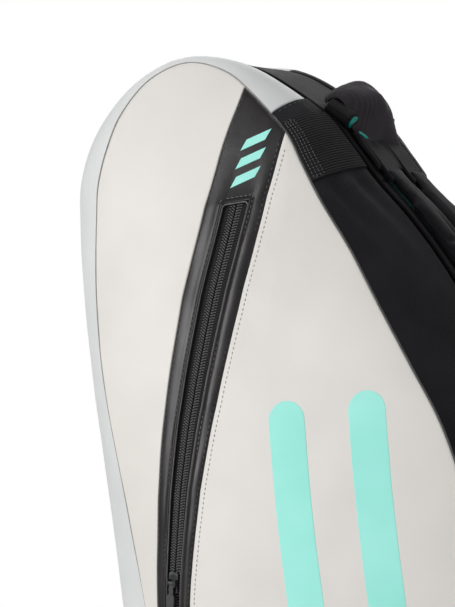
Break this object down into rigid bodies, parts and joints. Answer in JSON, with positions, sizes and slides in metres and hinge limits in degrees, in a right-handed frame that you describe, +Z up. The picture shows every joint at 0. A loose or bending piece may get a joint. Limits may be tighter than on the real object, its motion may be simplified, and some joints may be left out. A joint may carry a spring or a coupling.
{
  "type": "racket tournament bag",
  "caption": "Tall padded racket bag with two hinged side shells, U-shaped zips, a slanted zip pocket, carry handles and padded shoulder straps; stands on its base.",
  "frame": {"origin": "centre of the flat face that the bag stands on", "axes": "+Z up from the base to the head end, +X towards the carry handles and shoulder straps, -Y towards the side with the zipped pocket"},
  "size_m": [0.4164, 0.294, 0.7709],
  "materials": {
    "coated_light": "smooth light grey coated cloth",
    "rim_light": "cool light grey coated cloth",
    "band_black": "black woven cloth with a fine diagonal weave",
    "strip_black": "black satin coated cloth",
    "webbing_black": "black ribbed webbing",
    "zip_black": "black zip tape",
    "coil_black": "moulded zip coil",
    "slider_black": "black painted die-cast slider",
    "pull_black": "soft moulded pull tab",
    "lining_grey": "padded lining",
    "lining_teal": "teal mesh lining",
    "mesh_black": "open mesh",
    "base_black": "moulded wear panel",
    "board_grey": "stiff board",
    "fitting_black": "moulded strap fittings",
    "ring_metal": "black painted wire"
  },
  "bodies": {
    "root": {"underside_gusset": "band_black", "head_end_gusset": "band_black", "handle_side_gusset": "band_black", "base_gusset": "band_black", "base_panel": "base_black", "base_stiffener": "board_grey", "centre_divider": "lining_grey", "mesh_pocket": "mesh_black", "main_zip_tapes": "zip_black", "main_zip_coils": "coil_black", "front_hinge_strip": "band_black", "rear_hinge_strip": "band_black", "strap_rings": "ring_metal", "ring_tabs": "webbing_black", "strap_anchors": "webbing_black"},
    "front_shell": {"front_left_panel": "coated_light", "front_right_panel": "coated_light", "front_cross_strip": "strip_black", "front_rim_band": "rim_light", "front_handle_band": "band_black", "front_webbing_patch": "webbing_black", "front_foam_panel": "lining_grey", "front_zip_tape": "zip_black", "front_zip_coil": "coil_black", "pocket_zip_tape": "zip_black", "pocket_zip_coil": "coil_black", "pocket_pouch": "lining_grey"},
    "rear_shell": {"rear_left_panel": "coated_light", "rear_right_panel": "coated_light", "rear_cross_strip": "strip_black", "rear_rim_band": "rim_light", "rear_handle_band": "band_black", "rear_webbing_patch": "webbing_black", "rear_foam_panel": "lining_grey", "rear_zip_tape": "zip_black", "rear_zip_coil": "coil_black"},
    "front_handle": {"front_carry_handle": "webbing_black", "handle_grip": "band_black"},
    "rear_handle": {"rear_carry_handle": "webbing_black"},
    "grab_loop": {"grab_handle": "band_black"},
    "front_strap": {"front_shoulder_pad": "band_black", "front_pad_lining": "lining_teal", "front_strap_webbing": "webbing_black", "front_strap_hook": "fitting_black"},
    "front_adjuster": {"front_strap_adjuster": "fitting_black"},
    "front_upper_slider_body": {"front_upper_slider": "slider_black"},
    "front_upper_pull_body": {"front_upper_pull": "pull_black"},
    "front_lower_slider_body": {"front_lower_slider": "slider_black"},
    "front_lower_pull_body": {"front_lower_pull": "pull_black"},
    "rear_strap": {"rear_shoulder_pad": "band_black", "rear_pad_lining": "lining_teal", "rear_strap_webbing": "webbing_black", "rear_strap_hook": "fitting_black"},
    "rear_adjuster": {"rear_strap_adjuster": "fitting_black"},
    "rear_upper_slider_body": {"rear_upper_slider": "slider_black"},
    "rear_upper_pull_body": {"rear_upper_pull": "pull_black"},
    "rear_lower_slider_body": {"rear_lower_slider": "slider_black"},
    "rear_lower_pull_body": {"rear_lower_pull": "pull_black"},
    "pocket_slider_body": {"pocket_slider": "slider_black"},
    "pocket_pull_body": {"pocket_pull": "pull_black"}
  },
  "joints": [
    {"name": "front_shell_open", "type": "hinge", "parent": "root", "child": "front_shell", "pos_m": [-0.132, -0.052, 0.385], "axis": [0, 0, -1], "range_deg": [0, 60]},
    {"name": "front_upper_zip_travel", "type": "hinge", "parent": "root", "child": "front_upper_slider_body", "pos_m": [-0.244, -0.0465, 0.385], "axis": [0, -1, 0], "range_deg": [0, 31]},
    {"name": "front_upper_pull_swing", "type": "hinge", "parent": "front_upper_slider_body", "child": "front_upper_pull_body", "pos_m": [0.20838, -0.0465, 0.4021], "axis": [0, -1, 0], "range_deg": [0, 140]},
    {"name": "front_lower_zip_travel", "type": "hinge", "parent": "root", "child": "front_lower_slider_body", "pos_m": [-0.554, -0.0465, 0.385], "axis": [0, 1, 0], "range_deg": [0, 16]},
    {"name": "front_lower_pull_swing", "type": "hinge", "parent": "front_lower_slider_body", "child": "front_lower_pull_body", "pos_m": [0.20852, -0.0465, 0.36795], "axis": [0, -1, 0], "range_deg": [0, 140]},
    {"name": "front_handle_swing", "type": "hinge", "parent": "front_shell", "child": "front_handle", "pos_m": [0.20104, -0.066, 0.29], "axis": [0.022, 0, -0.9998], "range_deg": [-24, 42]},
    {"name": "front_strap_swing", "type": "hinge", "parent": "root", "child": "front_strap", "pos_m": [0.10951, -0.0205, 0.66815], "axis": [0, -1, 0], "range_deg": [0, 35]},
    {"name": "front_adjuster_travel", "type": "hinge", "parent": "front_strap", "child": "front_adjuster", "pos_m": [-0.554, -0.0205, 0.385], "axis": [0, 1, 0], "range_deg": [-0.7, 3]},
    {"name": "rear_shell_open", "type": "hinge", "parent": "root", "child": "rear_shell", "pos_m": [-0.132, 0.052, 0.385], "axis": [0, 0, 1], "range_deg": [0, 60]},
    {"name": "rear_upper_zip_travel", "type": "hinge", "parent": "root", "child": "rear_upper_slider_body", "pos_m": [-0.244, 0.0465, 0.385], "axis": [0, -1, 0], "range_deg": [0, 31]},
    {"name": "rear_upper_pull_swing", "type": "hinge", "parent": "rear_upper_slider_body", "child": "rear_upper_pull_body", "pos_m": [0.20838, 0.0465, 0.4021], "axis": [0, -1, 0], "range_deg": [0, 140]},
    {"name": "rear_lower_zip_travel", "type": "hinge", "parent": "root", "child": "rear_lower_slider_body", "pos_m": [-0.554, 0.0465, 0.385], "axis": [0, 1, 0], "range_deg": [0, 16]},
    {"name": "rear_lower_pull_swing", "type": "hinge", "parent": "rear_lower_slider_body", "child": "rear_lower_pull_body", "pos_m": [0.20852, 0.0465, 0.36795], "axis": [0, -1, 0], "range_deg": [0, 140]},
    {"name": "rear_handle_swing", "type": "hinge", "parent": "rear_shell", "child": "rear_handle", "pos_m": [0.20104, 0.066, 0.29], "axis": [-0.022, 0, 0.9998], "range_deg": [-24, 42]},
    {"name": "rear_strap_swing", "type": "hinge", "parent": "root", "child": "rear_strap", "pos_m": [0.10951, 0.0205, 0.66815], "axis": [0, -1, 0], "range_deg": [0, 35]},
    {"name": "rear_adjuster_travel", "type": "hinge", "parent": "rear_strap", "child": "rear_adjuster", "pos_m": [-0.554, 0.0205, 0.385], "axis": [0, 1, 0], "range_deg": [-0.7, 3]},
    {"name": "grab_handle_swing", "type": "hinge", "parent": "root", "child": "grab_loop", "pos_m": [0.05278, 0, 0.73863], "axis": [0.6575, 0, -0.7534], "range_deg": [-15, 15]},
    {"name": "pocket_zip_travel", "type": "hinge", "parent": "front_shell", "child": "pocket_slider_body", "pos_m": [0.29098, 0.58938, 0.3662], "axis": [-0.8877, 0.4124, 0.2048], "range_deg": [0, 17.66]},
    {"name": "pocket_pull_swing", "type": "hinge", "parent": "pocket_slider_body", "child": "pocket_pull_body", "pos_m": [-0.04332, -0.14479, 0.39194], "axis": [-0.9621, 0.178, 0.2064], "range_deg": [0, 140]}
  ]
}
